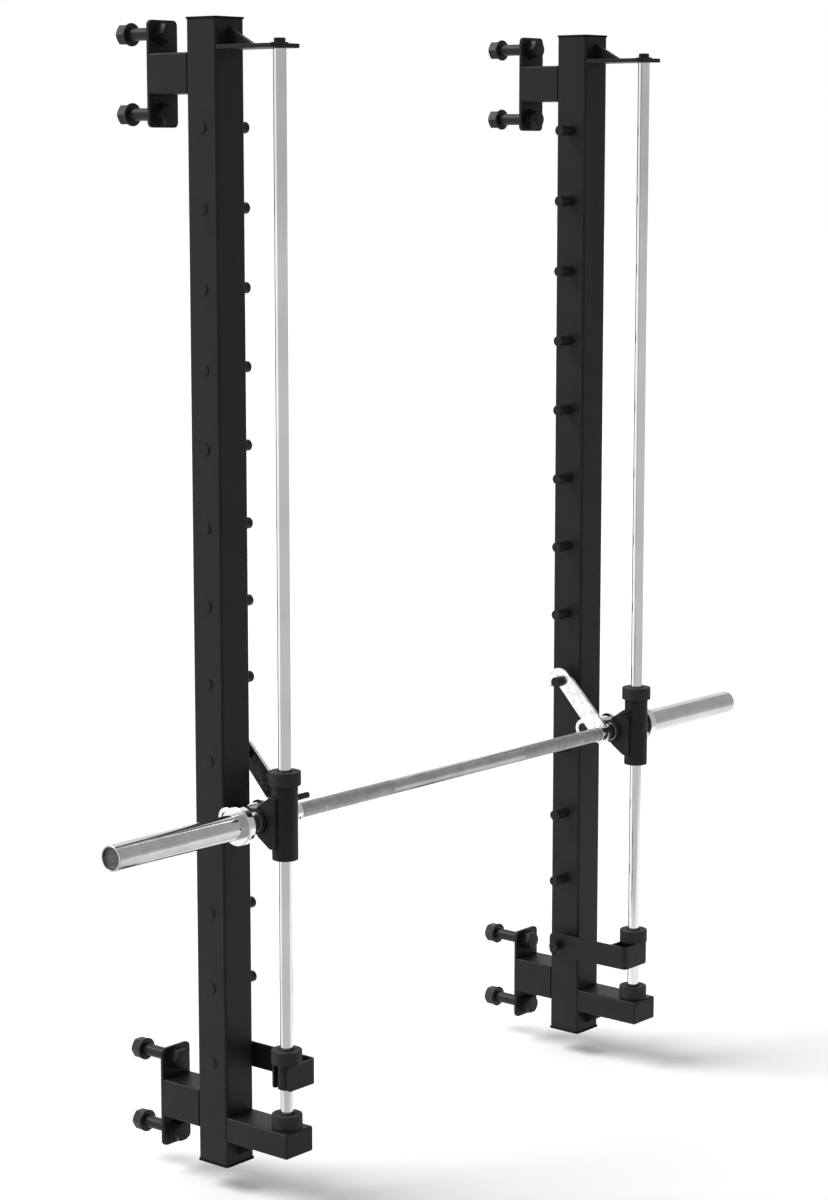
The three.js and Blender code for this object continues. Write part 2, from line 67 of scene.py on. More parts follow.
# ---- dimensions ----
# "r" is a radius, "bore" the radius of a hole, "flats" a width across flats, "corner" and "edge" radii.
ROD_LO, ROD_HI = mm_box("right_guide_rod")
UNIT_X = (ROD_LO.x + ROD_HI.x) / 2
ROD_Y = (ROD_LO.y + ROD_HI.y) / 2
ROD_R = (ROD_HI.x - ROD_LO.x) / 2
ARM_LO, ARM_HI = mm_box("right_foot_arm")
INNER_X, OUTER_X = ARM_LO.x, ARM_HI.x
TUBE = OUTER_X - INNER_X
CAP_LO, CAP_HI = mm_box("right_top_cap")
UPRIGHT_Y = (CAP_LO.y + CAP_HI.y) / 2
FRONT_Y = UPRIGHT_Y - TUBE / 2
BACK_Y = UPRIGHT_Y + TUBE / 2
BAR_LO, BAR_HI = mm_box("bar_shaft")
BAR_Y = (BAR_LO.y + BAR_HI.y) / 2
BAR_Z = (BAR_LO.z + BAR_HI.z) / 2
BAR_R = (BAR_HI.z - BAR_LO.z) / 2
BAR_CENTRE = (BAR_Y, BAR_Z)
ROD_CENTRE = (UNIT_X, ROD_Y)

SINK = 0.5  # how far welded parts run into each other
SLIP = 0.5  # radial gap where a piece is slipped over a rod or a peg
RUNNING = 0.4  # radial gap of what slides or turns
PAST = 1  # how far a cutting shape runs past the face that it opens
FREE = 5  # how far an outline runs on where it must not trim anything
WALL = 3  # of every square tube
TUBE_CORNER = 5

PEG_R = 11
PEG_PITCH = 150
PEG_COUNT = 13
LOWEST_PEG_Z = 205
HOOK_PEG = 4  # the hooks hang on this peg, counted from 0 at the bottom

CAP = {"thick": 4, "lip": 2, "play": 0.3, "corner": 6, "spigot_corner": 3}
GUSSET = {"length": 64, "height": 34, "thick": 8}
TOP_PLATE = {"thick": 8, "corner": 10}
ROD_BOLT = {
    "r": 6,
    "hole_r": 6.3,
    "hole_depth": 34,
    "flats": 19,
    "washer_r": 16.5,
    "washer": 2,
    "lift": 0.3,
}
ARM = {"height": 50, "edge": 4}
COLLAR = {"bore": 14.9, "recess": 3.5, "seat_r": 25.4, "seat_top": 5.7}
STUB = {"corner": 4, "bore_corner": 1.5}
RACK_PLATE = {"thick": 6, "corner": 10, "bolt_spacing": 150}
RACK_BOLT = {"r": 12, "flats": 36, "head": 15, "washer_r": 22, "washer": 4}
THREAD = {"pitch": 2.5, "depth": 1.1, "flat": 0.3, "rings": 11, "end": 1.5}

STOP = {"thick": 5, "bend": 10, "corner": 12, "end_corner": 5, "tube_r": 18}

POST = {"r": 25, "bore": 20, "groove": 0.8, "groove_width": 1, "groove_from_collar": 4}
# A cheek's "front" and "shoulder" are depths from the rod's axis, its halves heights from the bar's.
CHEEK = {"thick": 6, "offset": 27, "front": -2, "shoulder": 14, "half": 50, "rear_half": 29}
HOUSING = {"r": 25, "bore": 20.1, "half": 36}
# The lug starts this far behind the bar's axis, and the pin ends this far inwards of the rod's.
LUG = {"r": 13, "half": 5, "start": 23, "bore": 6.3}
STOP_PIN = {"r": 6, "z": 746, "edge": 2.2, "inner_end": 24}
RACE = {"r": 19.9, "bore": 18.2}
SEAL = {"r": 18.1, "bore": 15.5, "inset": 1}
# Each roller half runs outwards from "start". Its "flange" and "recess" are measured back from its end.
ROLLER = {
    "bore": 6.4,
    "r": 16.6,
    "start": 6,
    "flange_r": 21,
    "flange": 8,
    "core_r": 12.5,
    "recess": 3,
}
AXLE = {"r": 6, "head_r": 11.5, "head": 2.6}

HOOK = {
    "plate_at": 19,  # from the hub's inner end
    "thick": 7,
    "hole_r": 17.6,
    "hub_r": 18,
    "head_r": 30,
    "back_r": 7.5,
    "base_r": 21.5,
    "base_shift": 4,  # how far the base sits forward of the line from the bar to the peg
}
HOOK_TIP = {"at_bar": 0.012, "at_peg": 0.2}  # angles by which the finger's thin tip is cut back
SLEEVE = {
    "hub_r": 20,
    "flange_r": 37.5,
    "flange_x": 638,  # from the mirror plane
    "tube_x": 656,
    "r": 25,
    "bore": 21.5,
    "step_x": 700.6,
}
SEAM = 0.05  # between the sleeve's flange and its tube
HOOK_SCREW = {"from_end": 8, "angle": -32, "r": 3.0, "hole_r": 3.2, "reach": 30, "sunk": 0.9}
SLEEVE_SCREW = {"from_end": 13, "angle": 3, "r": 2.0, "hole_r": 2.2, "reach": 40, "sunk": 1.0}
# The plug's "depth", "face", "dish" and "middle" are measured back from the sleeve's end.
END_PLUG = {
    "r": 21.4,
    "depth": 10,
    "face": 4.5,
    "rim_r": 17.5,
    "dish_r": 16.5,
    "dish": 5.6,
    "middle": 5,
}
KNURL = {"around": 64, "depth": 0.35, "point": 0.05, "core": 0.6}
KNURL_ZONES = ((213, 409), (413, 483.5))  # on each half of the bar, from the mirror plane outwards
GROOVE = {"depth": 0.45, "run_out": 0.6}  # the turned-down stretches that carry the knurling

CAMERA = {
    "at": (-4.4942, -3.8186, 1.9607),  # metres
    "yaw": 40.133,  # degrees
    "pitch": -8.835,
    "lens": 86.58,
    "sensor": 36,
    "far": 200,  # metres
}
BACKDROP = (0.156, 0.988, 0.0)  # the direction in which the studio is brightest
BACKDROP_EDGE = (0.22, 0.36)  # cosines of the angle from it between which the studio turns to white
KEY_LIGHT = {"towards": (-0.55, 0.62, 1.0), "spread": 36, "power": 2.4}  # the spread in degrees
FLOOR = {"half": 60, "drop": 0.05}  # metres
PAINTED_LIGHT_POOL = (3.8, 2.6)  # metres from the object's middle between which the floor turns to white, a painted pool of light
USER_SIDE = (0.764, 0.645, 0.0)  # the direction in which the camera looks, seen from above
USER_EDGE = (-1.1, -0.5)  # metres along it between which the floor turns to white; on the user's side it stays painted grey as shade

MERGE = 3e-6  # points nearer than this many metres are one
SHARP = math.radians(38)  # edges sharper than this stay crisp


# ---- mesh building ----
def rounded(points, radius=0.0, steps=5):
    """A closed outline with rounded corners. A point may give its own radius as a third number."""
    out = []
    for i, point in enumerate(points):
        corner = Vector(point[:2])
        r = point[2] if len(point) > 2 else radius
        if r <= 0:
            out.append(tuple(corner))
            continue
        before = Vector(points[i - 1][:2]) - corner
        after = Vector(points[(i + 1) % len(points)][:2]) - corner
        half = before.angle(after) / 2
        before.normalize()
        after.normalize()
        centre = corner + (before + after).normalized() * (r / math.sin(half))
        start = corner + before * (r / math.tan(half)) - centre
        end = corner + after * (r / math.tan(half)) - centre
        a0 = math.atan2(start.y, start.x)
        turn = (math.atan2(end.y, end.x) - a0 + math.pi) % (2 * math.pi) - math.pi
        for k in range(steps + 1):
            a = a0 + turn * k / steps
            out.append((centre.x + r * math.cos(a), centre.y + r * math.sin(a)))
    return out


def rectangle(a0, a1, b0, b1):
    return [(a0, b0), (a1, b0), (a1, b1), (a0, b1)]


def arc(centre, r, start, end, steps):
    angles = [start + (end - start) * k / steps for k in range(steps + 1)]
    return [(centre[0] + r * math.cos(a), centre[1] + r * math.sin(a)) for a in angles]


def placed(point, along, axis):
    a, b, c = AXES[axis]
    v = [0.0, 0.0, 0.0]
    v[a], v[b], v[c] = point[0], point[1], along
    return Vector(v) * MM


def to_object(bm, name="shape"):
    bmesh.ops.remove_doubles(bm, verts=bm.verts, dist=MERGE)
    bmesh.ops.recalc_face_normals(bm, faces=bm.faces)
    mesh = bpy.data.meshes.new(name)
    bm.to_mesh(mesh)
    bm.free()
    obj = bpy.data.objects.new(name, mesh)
    bpy.context.scene.collection.objects.link(obj)
    return obj


def prism(outline, axis, lo, hi):
    bm = bmesh.new()
    ends = [[bm.verts.new(placed(p, along, axis)) for p in outline] for along in (lo, hi)]
    for end in ends:
        bm.faces.new(end)
    count = len(outline)
    for i in range(count):
        j = (i + 1) % count
        bm.faces.new((ends[0][i], ends[0][j], ends[1][j], ends[1][i]))
    return to_object(bm)


def tube(outer, inner, axis, lo, hi):
    """A hollow section: both outlines have the same number of points."""
    bm = bmesh.new()
    loops = []
    for line in (outer, inner):
        for along in (lo, hi):
            loops.append([bm.verts.new(placed(p, along, axis)) for p in line])
    outer_lo, outer_hi, inner_lo, inner_hi = loops
    pairs = ((outer_lo, outer_hi), (inner_lo, inner_hi), (outer_lo, inner_lo), (outer_hi, inner_hi))
    count = len(outer)
    for i in range(count):
        j = (i + 1) % count
        for a, b in pairs:
            bm.faces.new((a[i], a[j], b[j], b[i]))
    return to_object(bm)


def lathe(profile, axis, centre, steps=72):
    """Turns a closed profile of (radius, along) points about an axis through centre."""
    bm = bmesh.new()
    rings = []
    for r, along in profile:
        circle = []
        for k in range(steps):
            a = 2 * math.pi * k / steps
            point = (centre[0] + r * math.cos(a), centre[1] + r * math.sin(a))
            circle.append(bm.verts.new(placed(point, along, axis)))
        rings.append(circle)
    for i, (r, _) in enumerate(profile):
        j = (i + 1) % len(profile)
        if r < 1e-6 and profile[j][0] < 1e-6:
            continue
        for k in range(steps):
            m = (k + 1) % steps
            corners = [rings[i][k], rings[i][m], rings[j][m], rings[j][k]]
            bm.faces.new(corners)
    return to_object(bm)


def rod(r, axis, centre, lo, hi, edge=0.8, steps=72):
    profile = rounded([(0, lo), (r, lo, edge), (r, hi, edge), (0, hi)], steps=4)
    return lathe(profile, axis, centre, steps)


def ring(outer, bore, axis, centre, lo, hi, edge=0.8):
    profile = [(bore, lo), (outer, lo, edge), (outer, hi, edge), (bore, hi)]
    return lathe(rounded(profile, 0.3, 4), axis, centre)


def soft_box(lo, hi, radius, steps=4):
    bm = bmesh.new()
    size = [(h - l) * MM for l, h in zip(lo, hi)]
    middle = [(h + l) / 2 * MM for l, h in zip(lo, hi)]
    bmesh.ops.create_cube(bm, size=1, matrix=Matrix.Translation(middle) @ Matrix.Diagonal((*size, 1)))
    bmesh.ops.bevel(
        bm,
        geom=bm.edges[:],
        offset=radius * MM,
        segments=steps,
        profile=0.5,
        affect="EDGES",
        clamp_overlap=True,
    )
    return to_object(bm)


def settle(obj):
    """Applies the object's modifiers to its mesh."""
    graph = bpy.context.evaluated_depsgraph_get()
    mesh = bpy.data.meshes.new_from_object(obj.evaluated_get(graph))
    obj.modifiers.clear()
    old = obj.data
    obj.data = mesh
    bpy.data.meshes.remove(old)
    return obj


def combine(obj, tool, operation):
    """Joins or cuts near the origin, where the coordinates hold the most digits."""
    offset = sum((Vector(corner) for corner in obj.bound_box), Vector()) / 8
    for piece in (obj, tool):
        piece.data.transform(Matrix.Translation(-offset))
    boolean = obj.modifiers.new("combine", "BOOLEAN")
    boolean.object = tool
    boolean.operation = operation
    boolean.solver = "EXACT"
    settle(obj)
    obj.data.transform(Matrix.Translation(offset))
    bpy.data.objects.remove(tool)
    return obj


def cut(obj, *tools):
    for tool in tools:
        combine(obj, tool, "DIFFERENCE")
    return obj


def weld(obj, *others):
    for other in others:
        combine(obj, other, "UNION")
    return obj


def hexagon(flats, axis, centre, lo, hi, chamfer_lo, chamfer_hi):
    """A hexagonal head or nut whose corners are turned off at the chosen ends."""
    r = flats / math.sqrt(3)
    outline = [(centre[0] + x, centre[1] + y) for x, y in arc((0, 0), r, 0, 2 * math.pi * 5 / 6, 5)]
    body = prism(outline, axis, lo, hi)
    inside = flats / 2 * 0.97
    drop = (r - inside) * math.tan(math.radians(30)) + 0.1
    profile = [(0, lo)]
    profile += [(inside, lo), (r + 0.2, lo + drop)] if chamfer_lo else [(r + 1, lo)]
    profile += [(r + 0.2, hi - drop), (inside, hi)] if chamfer_hi else [(r + 1, hi)]
    profile += [(0, hi)]
    return combine(body, lathe(profile, axis, centre), "INTERSECT")


def finish_shape(obj, bevel):
    """Rounds the crisp edges, then shades smoothly between flat faces."""
    mesh = obj.data
    mesh.shade_smooth()
    mesh.set_sharp_from_angle(angle=SHARP)
    if bevel:
        m = obj.modifiers.new("edges", "BEVEL")
        m.width = bevel * MM
        m.segments = 3
        m.limit_method = "ANGLE"
        m.angle_limit = SHARP
        m.harden_normals = False
        m.use_clamp_overlap = True
    normals = obj.modifiers.new("normals", "WEIGHTED_NORMAL")
    normals.keep_sharp = True


def mirrored(obj):
    mesh = obj.data.copy()
    bm = bmesh.new()
    bm.from_mesh(mesh)
    bmesh.ops.scale(bm, vec=(-1, 1, 1), verts=bm.verts)
    bmesh.ops.reverse_faces(bm, faces=bm.faces)
    bm.to_mesh(mesh)
    bm.free()
    twin = bpy.data.objects.new("twin", mesh)
    bpy.context.scene.collection.objects.link(twin)
    return twin


def raised(obj, height):
    """A copy of a shape, moved up."""
    copy = bpy.data.objects.new("copy", obj.data.copy())
    copy.data.transform(Matrix.Translation((0, 0, height * MM)))
    bpy.context.scene.collection.objects.link(copy)
    return copy


def dress(obj, name, material, body, nodes=(), bevel=0.0):
    obj.name = name
    obj.data.name = name
    obj.data.materials.clear()
    obj.data.materials.append(material)
    finish_shape(obj, bevel)
    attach(obj, body)
    if nodes:
        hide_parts(*nodes)
    return obj


def both(obj, name, material, node, stands=True, bevel=0.0):
    """Dresses a right-hand piece and its left-hand twin.

    node is the CAD node that the piece stands for, or belongs to when stands is False.
    """
    twin = mirrored(obj)
    for side, piece in (("right", obj), ("left", twin)):
        cad = f"{side}_{node}"
        nodes = [cad] if stands else []
        dress(piece, f"{side}_{name}", material, BODY_OF[cad], nodes, bevel)


# ---- materials ----
class Surface:
    """A Principled material whose colour, roughness and bump are driven by procedural noise."""

    def __init__(self, name, **sockets):
        self.material = bpy.data.materials.new(name)
        self.material.use_nodes = True
        self.nodes = self.material.node_tree.nodes
        self.links = self.material.node_tree.links
        self.shader = self.nodes["Principled BSDF"]
        for socket, value in sockets.items():
            self.shader.inputs[socket.replace("_", " ")].default_value = value
        self.coordinates = self.nodes.new("ShaderNodeTexCoord").outputs["Object"]

    def stretched(self, scale):
        mapping = self.nodes.new("ShaderNodeMapping")
        mapping.inputs["Scale"].default_value = scale
        self.links.new(self.coordinates, mapping.inputs["Vector"])
        return mapping.outputs["Vector"]

    def noise(self, scale, detail=3.0, vector=None, roughness=0.5):
        node = self.nodes.new("ShaderNodeTexNoise")
        node.inputs["Scale"].default_value = scale
        node.inputs["Detail"].default_value = detail
        node.inputs["Roughness"].default_value = roughness
        self.links.new(vector or self.coordinates, node.inputs["Vector"])
        return node.outputs["Fac"]

    def colour(self, source, dark, light, low=0.35, high=0.65):
        ramp = self.nodes.new("ShaderNodeValToRGB")
        ramp.color_ramp.elements[0].position = low
        ramp.color_ramp.elements[0].color = (*dark, 1)
        ramp.color_ramp.elements[1].position = high
        ramp.color_ramp.elements[1].color = (*light, 1)
        self.links.new(source, ramp.inputs["Fac"])
        self.links.new(ramp.outputs["Color"], self.shader.inputs["Base Color"])

    def map_range(self, source, low, high, to_low=0.0, to_high=1.0):
        spread = self.nodes.new("ShaderNodeMapRange")
        spread.inputs["From Min"].default_value = low
        spread.inputs["From Max"].default_value = high
        spread.inputs["To Min"].default_value = to_low
        spread.inputs["To Max"].default_value = to_high
        self.links.new(source, spread.inputs["Value"])
        return spread.outputs["Result"]

    def arithmetic(self, operation, first, second):
        node = self.nodes.new("ShaderNodeMath")
        node.operation = operation
        self.links.new(first, node.inputs[0])
        self.links.new(second, node.inputs[1])
        return node.outputs["Value"]

    def roughness(self, source, smooth, rough, low=0.35, high=0.65):
        spread = self.map_range(source, low, high, smooth, rough)
        self.links.new(spread, self.shader.inputs["Roughness"])

    def bump(self, source, strength, distance_mm):
        node = self.nodes.new("ShaderNodeBump")
        node.inputs["Strength"].default_value = strength
        node.inputs["Distance"].default_value = distance_mm * MM
        self.links.new(source, node.inputs["Height"])
        self.links.new(node.outputs["Normal"], self.shader.inputs["Normal"])


def grey(value):
    return (value, value, value * 1.01)


def powder_coat():
    s = Surface("black_powder_coat", Specular_IOR_Level=0.2)
    s.colour(s.noise(22, 4), grey(0.0095), grey(0.012))
    s.roughness(s.noise(160, 3), 0.44, 0.52)
    s.bump(s.noise(1400, 2), 0.12, 0.12)
    return s.material


def moulded_black():
    s = Surface("black_moulding", Specular_IOR_Level=0.06)
    s.colour(s.noise(60, 3), grey(0.009), grey(0.0115))
    s.roughness(s.noise(300, 2), 0.72, 0.82)
    s.bump(s.noise(2200, 2), 0.15, 0.1)
    return s.material


def rubber():
    s = Surface("black_rubber", Specular_IOR_Level=0.3)
    s.colour(s.noise(90, 4), grey(0.013), grey(0.0165))
    s.roughness(s.noise(240, 3), 0.58, 0.7)
    s.bump(s.noise(1800, 3), 0.2, 0.12)
    return s.material


def bolt_black():
    s = Surface("black_oxide_bolts", Metallic=0.2, Specular_IOR_Level=0.25)
    s.colour(s.noise(140, 4), grey(0.012), grey(0.018))
    s.roughness(s.noise(420, 3), 0.38, 0.5)
    s.bump(s.noise(1600, 2), 0.1, 0.08)
    return s.material


def chrome():
    s = Surface("polished_chrome", Metallic=1.0)
    s.colour(s.noise(9, 3), grey(0.76), grey(0.84))
    s.roughness(s.noise(30, 4), 0.05, 0.1)
    return s.material


def sleeve_chrome():
    s = Surface("brushed_chrome_sleeve", Metallic=1.0)
    fine = s.noise(1.0, 4, s.stretched((40, 900, 900)))
    s.colour(s.noise(28, 5), grey(0.54), grey(0.63))
    s.roughness(fine, 0.07, 0.14)
    s.bump(fine, 0.05, 0.03)
    return s.material


def zinc():
    s = Surface("bright_zinc_plate", Metallic=1.0)
    s.colour(s.noise(85, 6, roughness=0.7), grey(0.64), grey(0.93), 0.36, 0.56)
    s.roughness(s.noise(120, 5), 0.16, 0.28)
    s.bump(s.noise(170, 5), 0.22, 0.2)
    return s.material


def knurl_steel():
    s = Surface("knurled_steel", Metallic=1.0)
    s.colour(s.noise(60, 4), (0.33, 0.345, 0.35), (0.42, 0.435, 0.44))
    s.roughness(s.noise(500, 3), 0.32, 0.44)
    return s.material


def smooth_steel():
    s = Surface("turned_bar_steel", Metallic=1.0)
    turning = s.noise(1.0, 3, s.stretched((2600, 60, 60)))
    s.colour(s.noise(24, 4), (0.38, 0.39, 0.4), (0.46, 0.47, 0.48))
    s.roughness(turning, 0.16, 0.26)
    s.bump(turning, 0.06, 0.02)
    return s.material


def bearing_steel():
    s = Surface("ground_bearing_steel", Metallic=1.0)
    s.colour(s.noise(120, 3), grey(0.4), grey(0.5))
    s.roughness(s.noise(500, 3), 0.2, 0.32)
    return s.material


def plug_plastic():
    s = Surface("sleeve_end_plug", Specular_IOR_Level=0.4)
    s.colour(s.noise(420, 5, roughness=0.7), grey(0.03), grey(0.2), 0.42, 0.66)
    s.roughness(s.noise(600, 3), 0.4, 0.6)
    s.bump(s.noise(700, 4), 0.5, 0.3)
    return s.material


def bronze():
    s = Surface("sintered_bronze", Metallic=1.0)
    s.colour(s.noise(300, 4), (0.36, 0.22, 0.09), (0.5, 0.32, 0.14))
    s.roughness(s.noise(900, 2), 0.4, 0.55)
    s.bump(s.noise(2600, 2), 0.2, 0.08)
    return s.material


COAT = powder_coat()
MOULDED = moulded_black()
RUBBER = rubber()
BOLTS = bolt_black()
CHROME = chrome()
SLEEVE_CHROME = sleeve_chrome()
ZINC = zinc()
KNURLED = knurl_steel()
TURNED = smooth_steel()
BEARING = bearing_steel()
PLUG = plug_plastic()
BRONZE = bronze()


# ---- frame pieces ----
def build_upright():
    lo, hi = mm_box("right_upright")
    outer = rounded(rectangle(INNER_X, OUTER_X, FRONT_Y, BACK_Y), TUBE_CORNER)
    inner = rounded(
        rectangle(INNER_X + WALL, OUTER_X - WALL, FRONT_Y + WALL, BACK_Y - WALL), TUBE_CORNER - WALL
    )
    both(tube(outer, inner, "Z", lo.z, hi.z), "upright_tube", COAT, "upright")


def build_pegs():
    lo, hi = mm_box("right_upright")
    for i in range(PEG_COUNT):
        z = LOWEST_PEG_Z + i * PEG_PITCH
        peg = rod(PEG_R, "X", (UPRIGHT_Y, z), lo.x, hi.x, edge=0.8, steps=56)
        both(peg, f"peg_{i + 1:02d}", COAT, "upright", stands=False)


def build_cap(node, plate_side):
    lo, hi = mm_box("right_" + node)
    z0, z1 = (hi.z - CAP["thick"], hi.z) if plate_side > 0 else (lo.z, lo.z + CAP["thick"])
    plate = prism(rounded(rectangle(lo.x, hi.x, lo.y, hi.y), CAP["corner"]), "Z", z0, z1)
    spigot_z = (lo.z, z0 + SINK) if plate_side > 0 else (z1 - SINK, hi.z)
    inset = CAP["lip"] + WALL + CAP["play"]
    outline = rectangle(lo.x + inset, hi.x - inset, lo.y + inset, hi.y - inset)
    spigot = prism(rounded(outline, CAP["spigot_corner"]), "Z", *spigot_z)
    both(weld(plate, spigot), node, MOULDED, node, bevel=0.9)


def gusset(node_z, rise, wall_y):
    """A triangular rib against the upright, standing on a height or, with rise -1, hanging from it."""
    half, tip_z = GUSSET["thick"] / 2, node_z + rise * GUSSET["height"]
    outline = [(wall_y - GUSSET["length"], node_z), (wall_y, node_z), (wall_y, tip_z)]
    return prism(outline, "X", UNIT_X - half, UNIT_X + half)


def build_top_plate():
    lo, hi = mm_box("right_rod_top_plate")
    thick, corner = TOP_PLATE["thick"], TOP_PLATE["corner"]
    outline = [(lo.x, lo.y, corner), (hi.x, lo.y, corner), (hi.x, hi.y, 0), (lo.x, hi.y, 0)]
    plate = prism(rounded(outline), "Z", lo.z, lo.z + thick)
    plate = weld(plate, gusset(lo.z + thick - SINK, 1, hi.y))
    plate = cut(plate, rod(ROD_BOLT["hole_r"], "Z", ROD_CENTRE, lo.z - PAST, lo.z + thick + PAST, 0))
    both(plate, "rod_top_plate", COAT, "rod_top_plate", bevel=0.8)


def build_rod_bolt():
    lo, hi = mm_box("right_rod_top_bolt")
    bottom = mm_box("right_rod_top_plate")[0].z + TOP_PLATE["thick"] + ROD_BOLT["lift"]
    top = bottom + ROD_BOLT["washer"]
    r = ROD_BOLT["washer_r"]
    bolt = hexagon(ROD_BOLT["flats"], "Z", ROD_CENTRE, top - SINK, hi.z, False, True)
    washer = lathe(rounded([(0, bottom), (r, bottom, 0.5), (r, top, 0.7), (0, top)]), "Z", ROD_CENTRE)
    bolt = weld(bolt, washer, rod(ROD_BOLT["r"], "Z", ROD_CENTRE, lo.z, bottom + SINK, 1))
    both(bolt, "rod_top_bolt", BOLTS, "rod_top_bolt", bevel=0.25)


def build_guide_rod():
    hole_r, hole_end = ROD_BOLT["hole_r"], ROD_HI.z - ROD_BOLT["hole_depth"]
    profile = [(0, ROD_LO.z), (ROD_R, ROD_LO.z, 1), (ROD_R, ROD_HI.z, 0.8), (hole_r, ROD_HI.z)]
    profile += [(hole_r, hole_end), (0, hole_end)]
    both(lathe(rounded(profile), "Z", ROD_CENTRE, 96), "guide_rod", CHROME, "guide_rod")


def build_foot_arm():
    """A closed arm, hollow up to the upright, with a hole for the rod's foot in its top wall."""
    z0, z1 = ARM_HI.z - ARM["height"], ARM_HI.z
    # The box and its hollow run on past the upright's face, and the last cut trims them flat there.
    arm = soft_box((INNER_X, ARM_LO.y, z0), (OUTER_X, ARM_HI.y + 8, z1), ARM["edge"])
    inside_lo = (INNER_X + WALL, ARM_LO.y + WALL, z0 + WALL)
    hollow = soft_box(inside_lo, (OUTER_X - WALL, ARM_HI.y + 30, z1 - WALL), 1)
    back_hi = (OUTER_X + FREE, ARM_HI.y + 40, z1 + FREE)
    back = soft_box((INNER_X - FREE, ARM_HI.y, z0 - FREE), back_hi, 0.1, 1)
    hole = rod(ROD_R + SLIP, "Z", ROD_CENTRE, z1 - 2 * WALL, z1 + PAST, 0)
    arm = cut(arm, hollow, hole, back)
    arm = weld(arm, gusset(z0 + SINK, -1, ARM_HI.y))
    both(arm, "foot_arm", COAT, "foot_arm")


def build_collar(node, lower_bore):
    """A collar with a shallow recess at its top, and a seat below when the lower bore is wider."""
    lo, hi = mm_box("right_" + node)
    r = (hi.x - lo.x) / 2
    bore, ring_bore, recess_z = ROD_R + SLIP, COLLAR["bore"], hi.z - COLLAR["recess"]
    profile = [(lower_bore, lo.z, 0.4), (r, lo.z, 1.2), (r, hi.z, 1.6), (ring_bore, hi.z, 0.6)]
    profile += [(ring_bore, recess_z, 0.3), (bore, recess_z, 0.3)]
    if lower_bore > bore:
        step = hi.z - COLLAR["seat_top"]
        profile += [(bore, step, 0), (lower_bore, step, 0)]
    else:
        profile += [(bore, lo.z + 0.5, 0)]
        profile[0] = (bore, lo.z, 0)
    both(lathe(rounded(profile), "Z", ROD_CENTRE, 96), node, RUBBER, node)


def build_bracket(node):
    """A stub of square tube with a plate across its end, drilled above and below the stub."""
    lo, hi = mm_box("right_" + node)
    z = (lo.z + hi.z) / 2
    plate_y = hi.y - RACK_PLATE["thick"]
    half = TUBE / 2
    outer = rounded(rectangle(INNER_X, OUTER_X, z - half, z + half), STUB["corner"])
    inner = rectangle(INNER_X + WALL, OUTER_X - WALL, z - half + WALL, z + half - WALL)
    stub = tube(outer, rounded(inner, STUB["bore_corner"]), "Y", lo.y, plate_y + SINK)
    outline = rounded(rectangle(lo.x, hi.x, lo.z, hi.z), RACK_PLATE["corner"])
    plate = prism(outline, "Y", plate_y, hi.y)
    hole_r = RACK_BOLT["r"] + RUNNING
    for side in (-1, 1):
        hole = (UNIT_X, z + side * RACK_PLATE["bolt_spacing"] / 2)
        plate = cut(plate, rod(hole_r, "Y", hole, plate_y - PAST, hi.y + PAST, 0))
    both(weld(plate, stub), node, COAT, node, bevel=0.8)


def threaded(r, axis, centre, lo, hi):
    """A shank whose last stretch carries rings of thread and a turned-off end."""
    pitch, depth, flat, end = THREAD["pitch"], THREAD["depth"], THREAD["flat"], THREAD["end"]
    profile = [(0, lo), (r, lo)]
    along = hi - THREAD["rings"] * pitch - end
    for _ in range(THREAD["rings"]):
        profile += [(r, along + flat), (r - depth, along + pitch / 2), (r, along + pitch - flat)]
        along += pitch
    profile += [(r, hi - end), (r - end, hi), (0, hi)]
    return lathe(profile, axis, centre)


def rack_bolt(centre):
    """A head with its washer and shank. The washer's bore is a touch small, so that it welds to the shank."""
    lo, hi = mm_box("right_bottom_lower_bolt")
    r, washer_r, thick = RACK_BOLT["r"], RACK_BOLT["washer_r"], RACK_BOLT["washer"]
    washer_y = lo.y + RACK_BOLT["head"]
    head = hexagon(RACK_BOLT["flats"], "Y", centre, lo.y, washer_y + SINK, True, False)
    washer = ring(washer_r, r - 0.2, "Y", centre, washer_y, washer_y + thick)
    return weld(head, washer, threaded(r, "Y", centre, washer_y - 1, hi.y))


def rack_nut(centre):
    """A nut with its washer, opened together for the shank."""
    lo, hi = mm_box("right_bottom_lower_nut")
    r, washer_r, thick = RACK_BOLT["r"], RACK_BOLT["washer_r"], RACK_BOLT["washer"]
    nut = hexagon(RACK_BOLT["flats"], "Y", centre, lo.y + thick - SINK, hi.y, False, True)
    nut = weld(nut, ring(washer_r, r - 1, "Y", centre, lo.y, lo.y + thick))
    return cut(nut, rod(r + 0.15, "Y", centre, lo.y - PAST, hi.y + PAST, 0))


def build_rack_fasteners():
    """One bolt and one nut, made level with the origin and repeated at each hole of the plates."""
    centre = (UNIT_X, 0)
    shapes = {"bolt": rack_bolt(centre), "nut": rack_nut(centre)}
    for place in ("bottom", "top"):
        for row in ("lower", "upper"):
            for kind, shape in shapes.items():
                name = f"{place}_{row}_{kind}"
                lo, hi = mm_box("right_" + name)
                both(raised(shape, (lo.z + hi.z) / 2), name, BOLTS, name, bevel=0.3)
    for shape in shapes.values():
        bpy.data.objects.remove(shape)


